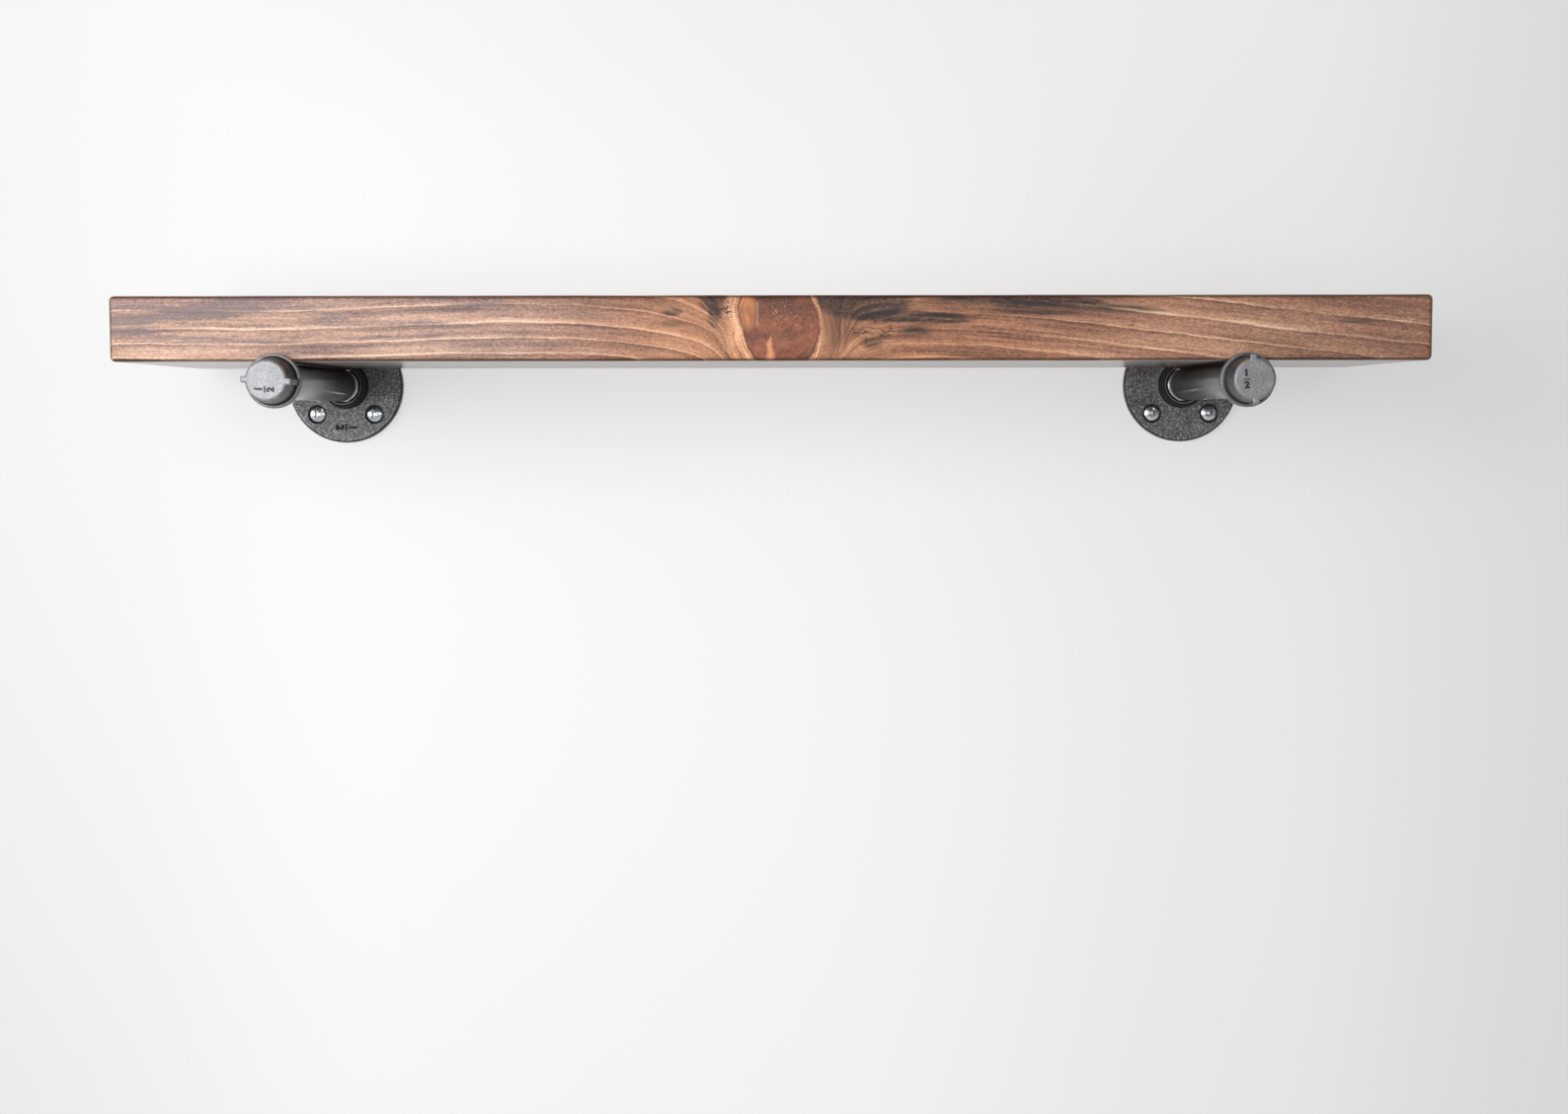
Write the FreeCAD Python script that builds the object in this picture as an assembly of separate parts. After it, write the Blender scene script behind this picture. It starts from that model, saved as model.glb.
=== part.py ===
import FreeCAD, Part
import math
import os
from FreeCAD import Vector

# Wall shelf: a stained plank laid on two brackets of half-inch iron pipe, in millimetres.
# The wall is the plane y = 0, the shelf stands out from it toward -Y, and +Z is up.
# The origin lies on the wall, midway between the brackets, at the height of the pipes' axes.

# Plank
plank_length = 762.0
plank_depth = 184.15
plank_thickness = 38.1
plank_edge_radius = 3.0
plank_rest_gap = 0.3  # from the pipes up to the underside that lies on them
plank_end_gap = 0.4  # from the plank to the hubs behind it and to the caps in front of it
plank_shift = 6.0  # how far to the right of the brackets' middle the plank was laid
bracket_inset = 101.6  # from each end of a plank laid in the middle to the axis of the pipe under it

# Pipe nipple, with a tapered thread at both ends
pipe_diameter = 21.3
pipe_wall = 2.77
thread_engagement = 9.1
thread_length = 18.0
thread_pitch = 1.81
thread_depth = 1.1
thread_clearance = 0.15
thread_taper_share = 1 / 32
thread_flat_share = 0.2
thread_fade_share = 0.4

# Floor flange, screwed flat to the wall
flange_diameter = 76.2
flange_plate = 6.5
flange_height = 18.0
flange_edge_radius = 2.0
flange_back_radius = 0.5
hub_wall = 3.4
hub_draft = 0.6
hub_fillet = 2.0
hub_edge_radius = 1.0
hub_mouth_chamfer = 1.4

# Screw holes in the flange
hole_circle_diameter = 54.0
hole_diameter = 5.6
countersink_diameter = 12.4
countersink_half_angle = 41.0

# Wall screw, with a raised countersunk head and a cross recess
screw_head_diameter = 9.8
screw_head_land = 0.4
screw_head_dome = 1.0
screw_seat_gap = 0.1
screw_diameter = 4.8
screw_core_diameter = 3.4
screw_length = 50.0
screw_shank_length = 19.0
screw_point_length = 6.0
screw_thread_pitch = 2.6
screw_thread_flat_share = 0.15
recess_span = 5.4
recess_width = 1.5
recess_depth = 2.4
recess_floor_share = 0.45

# Pipe cap, with a bead round its open end and two ribs for a wrench
cap_length = 24.0
cap_bead_width = 5.5
cap_bead_wall = 5.0
cap_bead_radius = 0.8
cap_body_wall = 2.9
cap_body_taper = 1.7
cap_neck_radius = 0.6
cap_crown_radius = 2.0
cap_end_wall = 3.6
cap_shoulder_depth = 3.0
cap_floor_radius = 3.0
cap_mouth_chamfer = 1.2
rib_width = 3.8
rib_rise = 0.95
rib_nose_radius = 1.6
rib_edge_radius = 0.7

# How far cutting shapes reach past what they cut, and when two points count as one
overrun = 1.0
same_point = 0.000001

# Worked out from the sizes above
pipe_radius = pipe_diameter / 2
thread_drop = thread_engagement * thread_taper_share
socket_radius = pipe_radius + thread_clearance
socket_end_radius = socket_radius - thread_drop
plank_back = flange_height + plank_end_gap
cap_rim = plank_back + plank_depth + plank_end_gap
nipple_start = flange_height - thread_engagement
nipple_length = cap_rim + thread_engagement - nipple_start
bracket_x = plank_length / 2 - bracket_inset
countersink_slope = math.tan(math.radians(countersink_half_angle))

axis_base = Vector(0, 0, 0)
axis_up = Vector(0, 0, 1)
axis_across = Vector(1, 0, 0)
full_turn = 360
side_signs = {"left": -1, "right": 1}
hole_angles = {"upper_right": 45, "upper_left": 135, "lower_left": 225, "lower_right": 315}
cap_rib_angles = {"left": -3, "right": 94}


def outline(corners):
    """Closed outline in the XZ plane through (x, z) or (x, z, rounding) corners."""
    count = len(corners)
    points = [Vector(corner[0], 0, corner[1]) for corner in corners]
    stretches = []
    for index, corner in enumerate(corners):
        here = points[index]
        rounding = corner[2] if len(corner) > 2 else 0
        if rounding == 0:
            stretches.append((here, here, here))
            continue
        back = (points[index - 1] - here).normalize()
        ahead = (points[(index + 1) % count] - here).normalize()
        half = back.getAngle(ahead) / 2
        reach = rounding / math.tan(half)
        inward = (back + ahead).normalize()
        middle = here + inward * (rounding / math.sin(half) - rounding)
        stretches.append((here + back * reach, middle, here + ahead * reach))
    edges = []
    for index, (start, middle, end) in enumerate(stretches):
        if start.distanceToPoint(end) > same_point:
            edges.append(Part.Arc(start, middle, end).toShape())
        following = stretches[(index + 1) % count][0]
        if end.distanceToPoint(following) > same_point:
            edges.append(Part.LineSegment(end, following).toShape())
    return Part.Wire(edges)


def turned(corners):
    """Solid of revolution about Z of an outline of (radius, height) corners."""
    return Part.Face(outline(corners)).revolve(axis_base, axis_up, full_turn)


def on_wall(shape, x, distance):
    """Turn a piece made along +Z to stand out from the wall, its base at this distance."""
    placed = shape.copy()
    placed.rotate(axis_base, axis_across, 90)
    placed.translate(Vector(x, -distance, 0))
    return placed


def make_plank():
    """Board with all its edges eased, over the pipes and between the hubs and caps."""
    left_end = plank_shift - plank_length / 2
    corner = Vector(left_end, -plank_back - plank_depth, pipe_radius + plank_rest_gap)
    board = Part.makeBox(plank_length, plank_depth, plank_thickness, corner)
    return board.makeFillet(plank_edge_radius, board.Edges)


def pipe_thread():
    """Corners of one threaded end, from the pipe's end inward, dying out along the pipe."""
    turns = int(thread_length / thread_pitch)
    fade_turns = turns * thread_fade_share
    flat = thread_pitch * thread_flat_share
    corners = []
    for turn in range(turns):
        root = turn * thread_pitch
        crest = root + (thread_pitch - flat) / 2
        drop = max(0, thread_engagement - crest) * thread_taper_share
        depth = thread_depth * min(1, (turns - turn) / fade_turns)
        corners.append((pipe_radius - drop - depth, root))
        corners.append((pipe_radius - drop, crest))
        corners.append((pipe_radius - drop, crest + flat))
    return corners


def make_nipple():
    """Pipe with a thread at both ends."""
    bore = pipe_radius - pipe_wall
    near_end = pipe_thread()
    far_end = [(radius, nipple_length - height) for radius, height in reversed(near_end)]
    return turned([(bore, 0)] + near_end + far_end + [(bore, nipple_length)])


def pipe_socket(mouth, inward, chamfer):
    """Corners of a tapered socket, from its chamfered mouth inward along its wall."""
    return [
        (socket_radius + chamfer, mouth),
        (socket_radius, mouth + inward * chamfer),
        (socket_end_radius, mouth + inward * thread_engagement),
    ]


def make_flange():
    """Round plate with a hub, a pipe socket through both and four countersunk holes."""
    hub_radius = socket_radius + hub_wall
    flange_radius = flange_diameter / 2
    body = turned(
        [
            (socket_end_radius, 0),
            (flange_radius, 0, flange_back_radius),
            (flange_radius, flange_plate, flange_edge_radius),
            (hub_radius + hub_draft, flange_plate, hub_fillet),
            (hub_radius, flange_height, hub_edge_radius),
        ]
        + pipe_socket(flange_height, -1, hub_mouth_chamfer)
    )
    sink_depth = (countersink_diameter - hole_diameter) / 2 / countersink_slope
    lip_radius = countersink_diameter / 2 + overrun * countersink_slope
    drill = turned(
        [
            (0, -overrun),
            (hole_diameter / 2, -overrun),
            (hole_diameter / 2, flange_plate - sink_depth),
            (lip_radius, flange_plate + overrun),
            (0, flange_plate + overrun),
        ]
    )
    for angle in hole_angles.values():
        body = body.cut(at_hole(drill, angle))
    return body


def at_hole(shape, angle):
    """Copy of a piece moved from the flange's axis to its hole at this angle."""
    moved = shape.copy()
    moved.translate(Vector(hole_circle_diameter / 2, 0, 0))
    moved.rotate(axis_base, axis_up, angle)
    return moved


def recess_blade():
    """One tapered blade of the cross recess, its mouth at height zero."""
    wires = []
    for height, share in ((overrun, 1), (0, 1), (-recess_depth, recess_floor_share)):
        half_span = recess_span / 2 * share
        half_width = recess_width / 2 * share
        ring = [
            Vector(-half_span, -half_width, height),
            Vector(half_span, -half_width, height),
            Vector(half_span, half_width, height),
            Vector(-half_span, half_width, height),
        ]
        wires.append(Part.makePolygon(ring + ring[:1]))
    return Part.makeLoft(wires, True, True)


def make_screw():
    """Wood screw on the flange's axis, seated in its countersink and pointing at the wall."""
    head_radius = screw_head_diameter / 2
    shank_radius = screw_diameter / 2
    core_radius = screw_core_diameter / 2
    head_sink = (countersink_diameter - screw_head_diameter) / 2 / countersink_slope
    head_edge = flange_plate - head_sink + screw_seat_gap
    head_top = head_edge + screw_head_land + screw_head_dome
    cone_end = head_edge - (head_radius - shank_radius) / countersink_slope
    tip = head_top - screw_length
    shank_end = head_top - screw_shank_length
    point_start = tip + screw_point_length
    turns = int((shank_end - point_start) / screw_thread_pitch)
    pitch = (shank_end - point_start) / turns
    flat = pitch * screw_thread_flat_share
    corners = [(0, tip)]
    for turn in range(turns):
        root = point_start + turn * pitch
        crest = root + (pitch - flat) / 2
        corners.append((core_radius, root))
        corners.append((shank_radius, crest))
        corners.append((shank_radius, crest + flat))
    dome_radius = (head_radius**2 + screw_head_dome**2) / (2 * screw_head_dome)
    dome_corner = (head_radius**2 + screw_head_dome**2) / (2 * head_radius)
    corners += [
        (core_radius, shank_end),
        (shank_radius, shank_end),
        (shank_radius, cone_end),
        (head_radius, head_edge),
        (head_radius, head_edge + screw_head_land),
        (dome_corner, head_top, dome_radius),
        (0, head_top),
    ]
    screw = turned(corners)
    blade = recess_blade()
    blade.translate(Vector(0, 0, head_top))
    crossing_blade = blade.copy()
    crossing_blade.rotate(axis_base, axis_up, 90)
    return screw.cut(blade).cut(crossing_blade)


def wrench_rib(rib_radius, front_radius):
    """Rib along the cap's side from its bead, flush with its front face at the nose."""
    root = (socket_radius + front_radius) / 2
    base = cap_bead_width - cap_bead_radius
    face_radius = front_radius - cap_crown_radius
    crown_base = cap_length - cap_crown_radius
    section = outline(
        [
            (root, base),
            (rib_radius, base),
            (rib_radius, cap_length, rib_nose_radius),
            (face_radius, cap_length),
            (face_radius, crown_base),
            (root, crown_base),
        ]
    )
    rib = Part.Face(section).extrude(Vector(0, rib_width, 0))
    rib.translate(Vector(0, -rib_width / 2, 0))
    eased = []
    for edge in rib.Edges:
        middle = edge.CenterOfMass
        on_side = abs(middle.y) > rib_width / 2 - same_point
        outside = middle.x > rib_radius - rib_nose_radius and middle.z > base + same_point
        in_front = middle.z > cap_length - same_point
        if on_side and (outside or in_front):
            eased.append(edge)
    return rib.makeFillet(rib_edge_radius, eased)


def make_cap(rib_angle):
    """Closed pipe cap with its open rim at height zero and its ribs at this angle."""
    body_radius = socket_radius + cap_body_wall
    front_radius = body_radius - cap_body_taper
    bead_radius = socket_radius + cap_bead_wall
    cavity_radius = pipe_radius - pipe_wall
    shoulder = thread_engagement + cap_shoulder_depth
    shell = turned(
        [
            (bead_radius, 0, cap_bead_radius),
            (bead_radius, cap_bead_width, cap_bead_radius),
            (body_radius, cap_bead_width, cap_neck_radius),
            (front_radius, cap_length, cap_crown_radius),
            (0, cap_length),
            (0, cap_length - cap_end_wall),
            (cavity_radius, cap_length - cap_end_wall, cap_floor_radius),
            (cavity_radius, shoulder),
        ]
        + pipe_socket(0, 1, cap_mouth_chamfer)[::-1]
    )
    rib = wrench_rib(body_radius + rib_rise, front_radius)
    for angle in (rib_angle, rib_angle + full_turn / 2):
        turned_rib = rib.copy()
        turned_rib.rotate(axis_base, axis_up, angle)
        shell = shell.fuse(turned_rib)
    return shell.removeSplitter()


def save(name, shape):
    """Write one piece and print its volume."""
    shape.exportStep(f"parts/{name}.step")
    print(name, "valid" if shape.isValid() else "broken", len(shape.Solids), round(shape.Volume, 1))


os.makedirs("parts", exist_ok=True)
save("plank", make_plank())
for side, sign in side_signs.items():
    place = sign * bracket_x
    save(f"{side}_flange", on_wall(make_flange(), place, 0))
    save(f"{side}_nipple", on_wall(make_nipple(), place, nipple_start))
    save(f"{side}_cap", on_wall(make_cap(cap_rib_angles[side]), place, cap_rim))
    for corner_name, corner_angle in hole_angles.items():
        seated_screw = at_hole(make_screw(), corner_angle)
        save(f"{side}_wall_screw_{corner_name}", on_wall(seated_screw, place, 0))
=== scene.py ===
# %% [markdown]
# # A stained plank on iron pipe brackets
#
# The shelf is a thick softwood plank that lies on two wall brackets. Each bracket is plumbing: a
# floor flange screwed to the wall, a short pipe and a cap. The solids arrive at their real size and
# place, so nothing here is scaled or moved. What is left to make is what the eye calls wood and
# iron.

import math

import bpy
from mathutils import Matrix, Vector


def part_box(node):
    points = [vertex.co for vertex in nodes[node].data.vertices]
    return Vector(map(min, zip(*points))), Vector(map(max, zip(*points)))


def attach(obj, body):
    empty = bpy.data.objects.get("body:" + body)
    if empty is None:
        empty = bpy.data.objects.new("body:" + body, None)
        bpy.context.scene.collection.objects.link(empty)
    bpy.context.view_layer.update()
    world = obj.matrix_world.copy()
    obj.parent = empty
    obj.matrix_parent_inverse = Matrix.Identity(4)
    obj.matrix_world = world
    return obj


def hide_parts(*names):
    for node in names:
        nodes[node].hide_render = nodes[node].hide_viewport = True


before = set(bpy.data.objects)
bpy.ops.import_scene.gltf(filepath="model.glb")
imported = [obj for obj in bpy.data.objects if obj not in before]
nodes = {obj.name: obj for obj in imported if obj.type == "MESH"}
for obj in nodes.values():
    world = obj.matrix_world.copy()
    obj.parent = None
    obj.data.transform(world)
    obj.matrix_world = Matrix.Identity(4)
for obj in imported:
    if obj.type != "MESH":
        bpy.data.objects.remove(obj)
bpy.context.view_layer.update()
print("solids:", ", ".join(sorted(nodes)))

# %% [markdown]
# ## The camera
#
# The shelf is seen from the room, from a little below its pipes, by a lens of about 48 mm that
# looks slightly down. A camera could be aimed by a constraint, but plain angles are easier to check
# against a picture, and they leave nothing live in the file.

# %% Stand the camera in the room
image_width = 1588
focal_pixels = 2126.2
camera_place = (0.0095, -1.4155, -0.0197)
look_down = 0.0677
look_right = 0.0030
tilt = 0.0015

bpy.ops.object.camera_add(
    location=camera_place,
    rotation=(math.pi / 2 - look_down, tilt, -look_right),
)
camera = bpy.context.object
camera.data.sensor_width = 36.0
camera.data.lens = focal_pixels / image_width * camera.data.sensor_width
bpy.context.scene.camera = camera
bpy.context.scene.view_settings.view_transform = "Standard"
print("lens:", round(camera.data.lens, 2), "mm")

# %% [markdown]
# ## Sums with sockets
#
# A procedural finish is arithmetic: distances, noise and smooth steps. Wiring each sum by hand
# hides the thought behind it, so one small class wraps a socket and lets Python's own signs add the
# Math nodes. Every other kind of node comes from its `node` method.

# %% A socket that can be added and multiplied
class Shade:
    """A socket of a material's node tree that takes part in Python sums."""

    def __init__(self, tree, socket=None):
        self.tree = tree
        self.socket = socket

    def node(self, kind, settings=None, sockets=None, output=0):
        """Add a node, its settings first, then its sockets' values or links, and wrap its output."""
        made = self.tree.nodes.new(kind)
        for name, value in (settings or {}).items():
            if name == "stops":
                self.set_stops(made.color_ramp, value)
            else:
                setattr(made, name, value)
        for name, value in (sockets or {}).items():
            if isinstance(value, Shade):
                self.tree.links.new(value.socket, made.inputs[name])
            else:
                made.inputs[name].default_value = value
        if isinstance(output, tuple):
            return [Shade(self.tree, made.outputs[name]) for name in output]
        return Shade(self.tree, made.outputs[output])

    @staticmethod
    def set_stops(ramp, stops):
        """Give a colour ramp its (position, colour) stops."""
        for element, (position, colour) in zip(ramp.elements, (stops[0], stops[-1])):
            element.position = position
            element.color = colour
        for position, colour in stops[1:-1]:
            ramp.elements.new(position).color = colour

    def math(self, operation, first, second=0.0, third=0.0):
        return self.node("ShaderNodeMath", {"operation": operation}, {0: first, 1: second, 2: third})

    def __add__(self, other):
        return self.math("ADD", self, other)

    __radd__ = __add__

    def __mul__(self, other):
        return self.math("MULTIPLY", self, other)

    __rmul__ = __mul__

    def __sub__(self, other):
        return self.math("SUBTRACT", self, other)

    def __rsub__(self, other):
        return self.math("SUBTRACT", other, self)

    def __truediv__(self, other):
        return self.math("DIVIDE", self, other)

    def __pow__(self, other):
        return self.math("POWER", self, other)


print("sums with sockets ready")

# %% [markdown]
# The finishes below are built from a handful of moves: noise with a length along each axis, a
# smooth step, a ramp, a mix of two colours and a bump. They work in millimetres in the shelf's own
# frame, so a pattern has the size that it has on the real thing and runs on from one face to the
# next.

# %% Small moves for finishes
millimetres = 1000.0


def srgb(red, green, blue):
    """A colour as a screen gives it, from 0 to 255, made the linear colour that a socket takes."""
    shares = [value / 255 for value in (red, green, blue)]
    return tuple(s / 12.92 if s <= 0.04045 else ((s + 0.055) / 1.055) ** 2.4 for s in shares) + (1.0,)


def new_finish(name):
    """A material, its one shader, and a Shade to start its sums from."""
    material = bpy.data.materials.new(name)
    material.use_nodes = True
    return material, material.node_tree.nodes["Principled BSDF"], Shade(material.node_tree)


def feed(shader, links):
    """Link Shades to the shader's sockets."""
    for name, shade in links.items():
        shade.tree.links.new(shade.socket, shader.inputs[name])


def settle(shader, values):
    """Set the shader's sockets that are the same all over the surface."""
    for name, value in values.items():
        shader.inputs[name].default_value = value


def in_millimetres(start):
    """Where a point lies in the shelf's own frame, in millimetres."""
    place = start.node("ShaderNodeTexCoord", output="Object")
    return place.node("ShaderNodeVectorMath", {"operation": "SCALE"}, {0: place, "Scale": millimetres})


def axes(place):
    return place.node("ShaderNodeSeparateXYZ", sockets={0: place}, output=("X", "Y", "Z"))


def point(x, y, z):
    start = next(value for value in (x, y, z) if isinstance(value, Shade))
    return start.node("ShaderNodeCombineXYZ", sockets={"X": x, "Y": y, "Z": z})


def cloud(place, lengths, detail=2.0, rough=0.5):
    """Noise of about -0.5 to 0.5, whose blobs have these lengths along each axis."""
    spread = place.node("ShaderNodeVectorMath", {"operation": "DIVIDE"}, {0: place, 1: lengths})
    inputs = {"Vector": spread, "Scale": 1.0, "Detail": detail, "Roughness": rough}
    return spread.node("ShaderNodeTexNoise", sockets=inputs) - 0.5


def rise(value, low, high):
    """0 below low, 1 above high, smooth between them."""
    inputs = {0: value, 1: low, 2: high, 3: 0.0, 4: 1.0}
    return value.node("ShaderNodeMapRange", {"interpolation_type": "SMOOTHSTEP"}, inputs)


def drop(value, low, high):
    """1 below low, 0 above high, smooth between them."""
    return 1.0 - rise(value, low, high)


def ramp(value, *stops):
    return value.node("ShaderNodeValToRGB", {"stops": stops}, {0: value})


def curve(value, *stops):
    """A ramp of plain numbers."""
    return ramp(value, *[(position, (level, level, level, 1.0)) for position, level in stops])


def mix(share, first, second):
    """Mix two colours by this share."""
    inputs = {0: share, 6: first, 7: second}
    return share.node("ShaderNodeMix", {"data_type": "RGBA"}, inputs, output=2)


def bump(height, distance, strength=1.0):
    """A normal from a height field, whose full range stands this many metres tall."""
    inputs = {"Strength": strength, "Distance": distance, "Height": height}
    return height.node("ShaderNodeBump", sockets=inputs)


print("finish helpers ready")

# %% [markdown]
# ## The stage
#
# The shelf hangs on a white wall. Wall and floor are one sheet, like a photographer's paper sweep:
# a plane whose back edge is extruded upward and whose corner is bevelled round. The sheet shows
# only its front, so the shelf can also be looked at from behind, and it stays out of the bounced
# light, because the light of the room already stands for white walls.

# %% Bend a paper sweep behind and below the shelf
wall_gap = 0.0004
sweep_width = 9.0
sweep_reach = 5.0
floor_height = -1.5
wall_height = 5.0
cove_radius = 0.6
cove_steps = 24


def select_edges(mesh, test):
    """Leave edit mode with only the edges selected whose two ends pass the test, and return to it."""
    bpy.ops.mesh.select_mode(type="EDGE")
    bpy.ops.mesh.select_all(action="DESELECT")
    bpy.ops.object.mode_set(mode="OBJECT")
    for edge in mesh.edges:
        edge.select = all(test(mesh.vertices[index].co) for index in edge.vertices)
    bpy.ops.object.mode_set(mode="EDIT")


bpy.ops.object.select_all(action="DESELECT")
bpy.ops.mesh.primitive_plane_add(size=1.0, location=(0.0, wall_gap - sweep_reach / 2, floor_height))
sweep = bpy.context.object
sweep.name = "paper_sweep"
sweep.scale = (sweep_width, sweep_reach, 1.0)
bpy.ops.object.transform_apply(location=True, rotation=True, scale=True)
bpy.ops.object.mode_set(mode="EDIT")
select_edges(sweep.data, lambda end: end.y > -wall_gap)
bpy.ops.mesh.extrude_region_move(TRANSFORM_OT_translate={"value": (0.0, 0.0, wall_height)})
select_edges(sweep.data, lambda end: end.y > -wall_gap and end.z < floor_height + wall_gap)
bpy.ops.mesh.bevel(offset=cove_radius, segments=cove_steps, affect="EDGES")
bpy.ops.mesh.select_all(action="SELECT")
bpy.ops.mesh.normals_make_consistent(inside=False)
bpy.ops.object.mode_set(mode="OBJECT")
floor_face = max(sweep.data.polygons, key=lambda face: face.area * abs(face.normal.z))
if floor_face.normal.z < 0:
    sweep.data.flip_normals()
bpy.ops.object.shade_smooth()
sweep.visible_diffuse = False
sweep.visible_shadow = False
print("sweep faces:", len(sweep.data.polygons))

# %% [markdown]
# The paper takes the shelf's shadow, and a share of plain white that only the camera and
# mirror-like surfaces see keeps it pale without more light on the shelf. That white is fullest
# behind the shelf and a little greyer towards the paper's ends: a painted pool of light on the
# paper, which lightens the shelf's shadow behind it.

# %% Paint the sweep white on its front only
paper_white = srgb(242, 242, 242)
own_white_share = 0.55
end_white = 0.75
painted_light_gain = 0.14
painted_light_core_gain = 0.11

paper, paper_shader, start = new_finish("paper_sweep")
settle(paper_shader, {"Base Color": paper_white, "Roughness": 0.9, "Specular IOR Level": 0.2})
camera_ray, glossy_ray = start.node("ShaderNodeLightPath", output=("Is Camera Ray", "Is Glossy Ray"))
across, _, upward = axes(start.node("ShaderNodeTexCoord", output="Object"))
# painted pool of light: the paper's own white is raised behind the shelf, most near its height
painted_light_pool = rise(across, -0.62, -0.35) * drop(across, 0.33, 0.55)
painted_light_core = rise(across, -0.45, -0.25) * drop(across, 0.0, 0.35) * drop(upward, 0.08, 0.28)
white_level = end_white + painted_light_pool * painted_light_gain + painted_light_core * painted_light_core_gain
own_white = start.node("ShaderNodeEmission", sockets={"Color": white_level})
seen_share = start.math("MAXIMUM", camera_ray, glossy_ray) * own_white_share
lit = Shade(start.tree, paper_shader.outputs[0])
front = start.node("ShaderNodeMixShader", sockets={0: seen_share, 1: lit, 2: own_white})
behind = start.node("ShaderNodeNewGeometry", output="Backfacing")
nothing = start.node("ShaderNodeBsdfTransparent")
one_sided = start.node("ShaderNodeMixShader", sockets={0: behind, 1: front, 2: nothing})
start.tree.links.new(one_sided.socket, start.tree.nodes["Material Output"].inputs["Surface"])
sweep.data.materials.append(paper)
print("paper painted")

# %% [markdown]
# ## Light
#
# One wide soft window stands to the left of the camera. It gives the left half of the plank its
# sheen and the left cap its bright face, because both mirror it, and it leaves the shadow under the
# plank. A pale card behind the camera fills in from the front. The rest of the room is a world
# light that is brighter in front and behind than at the sides and the ceiling, so round iron keeps
# its dark outlines, but for a glow from the far left that skims the wall and lights the edges that
# face it.

# %% Hang the window and the card, and light the room
def soft_box(name, place, width, height, glow):
    """A soft rectangle of light that faces the wall, as bright all over as its glow says."""
    bpy.ops.object.light_add(type="AREA", location=place, rotation=(math.pi / 2, 0.0, 0.0))
    made = bpy.context.object
    made.name = name
    made.data.shape = "RECTANGLE"
    made.data.size = width
    made.data.size_y = height
    made.data.energy = glow * math.pi * width * height
    made.visible_camera = False
    print(name, round(made.data.energy, 1), "W")


soft_box("window", place=(-0.85, -1.3, 0.15), width=1.3, height=0.72, glow=5.2)
soft_box("card", place=(0.15, -1.9, 0.2), width=1.6, height=0.6, glow=1.5)

room_glow = 0.55
side_share = 0.3
far_side_share = 0.6
left_glow = 1.1

world = bpy.data.worlds.new("room")
bpy.context.scene.world = world
world.use_nodes = True
air = Shade(world.node_tree)
rightward, inward, _ = axes(air.node("ShaderNodeTexCoord", output="Generated"))
frontal = rise(air.math("ABSOLUTE", inward), 0.3, 0.9)
far_side = 1.0 - rise(rightward, -0.5, 0.6) * (1.0 - far_side_share)
room = (side_share + frontal * (1.0 - side_share)) * far_side * room_glow
room = room + rise(-1.0 * rightward, 0.55, 0.9) * left_glow
camera_ray = air.node("ShaderNodeLightPath", output="Is Camera Ray")
level = camera_ray + (1.0 - camera_ray) * room
background = world.node_tree.nodes["Background"]
background.inputs["Color"].default_value = (1.0, 1.0, 1.0, 1.0)
world.node_tree.links.new(level.socket, background.inputs["Strength"])
print("room glow:", room_glow, "and from the far left", left_glow)

# %% [markdown]
# ## Stained wood
#
# A board is a slice through rings that were once cones round the pith of a tree, so the grain is
# worked out in space and all six faces agree where they meet. An image of wood could be wrapped
# round the board, but its faces would not match at the edges. The pith ran a little above this
# plank, and a branch grew from it towards the front: the branch is a cone, the rings bend round it,
# and the cut through it is the knot, fuller on its lower right where the branch sagged. Far from
# the branch the rings sink slowly, and close to it they plunge.

# %% Rings round the pith and the branch through them
pith_y = -115.0
pith_z = 109.0
branch_x = 8.5
branch_run = (-87.5, -71.0)
branch_spread = 0.204
branch_radius = 23.0
sag_left = 4.7
sag_right = 1.7


def bent_rings(place):
    """Depth below the pith, place in the branch (0 at its heart, 1 at its bark) and a ragged noise."""
    x, y, z = axes(place)
    across = y - pith_y
    down = z - pith_z

    length = math.hypot(*branch_run)
    lean_y, lean_z = branch_run[0] / length, branch_run[1] / length
    aside = x - branch_x
    along = place.math("MAXIMUM", across * lean_y + down * lean_z, 1.0)
    beside = across * lean_z - down * lean_y
    ragged = cloud(place, (14.0, 14.0, 14.0), detail=3.0)
    sag = sag_left - (sag_left - sag_right) * rise(aside, -10.0, 10.0)
    aside = aside - rise(-1.0 * beside, -4.0, 9.0) * sag
    branch = ((aside * aside + beside * beside) ** 0.5 + ragged * 3.0) / (along * branch_spread)

    right = place.math("TANH", aside / 18.0) * 0.5 + 0.5
    off = branch * branch_radius
    slow = (5.0 - 3.6 * right) * place.math("EXPONENT", (57.0 - off) / 30.0)
    plunge = (33.8 + 6.5 * right - off) / (3.75 + 1.5 * right)
    steepest = 2.2 + 0.8 * right
    sharp = 5.2 * place.math("EXPONENT", place.math("MINIMUM", plunge, steepest))
    reached = rise(along, 10.0, 60.0)

    sway = cloud(place, (240.0, 120.0, 120.0), detail=1.0) * 7.0
    ripple = cloud(place, (46.0, 22.0, 22.0), detail=2.0) * 2.2
    tremble = cloud(place, (9.0, 5.0, 2.4), detail=2.0) * 1.1
    fall = place.math("SMOOTH_MAX", x - 95.0, 0.0, 80.0) * 0.115
    lift = rise(x, -300.0, -120.0) * 2.5
    below = down + fall - lift + sway + ripple + tremble
    depth = (across * across + below * below) ** 0.5 - (slow + sharp) * reached
    return depth, branch, ragged


lean = math.degrees(math.atan2(-branch_run[1], -branch_run[0]))
print("branch leans", round(lean), "degrees below level")

# %% [markdown]
# Stain soaks into the soft early wood and hardly into the dense late wood, so on stained pine the
# pattern is turned round: each ring runs from dark to light and ends in a pale line. No two lines
# are equally bright. Finer noise, stretched along the grain, gives the streaks, the short dark
# pores and the grit. A few soft places on the front took less stain, or more, and are lighter or
# darker as a whole.

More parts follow.
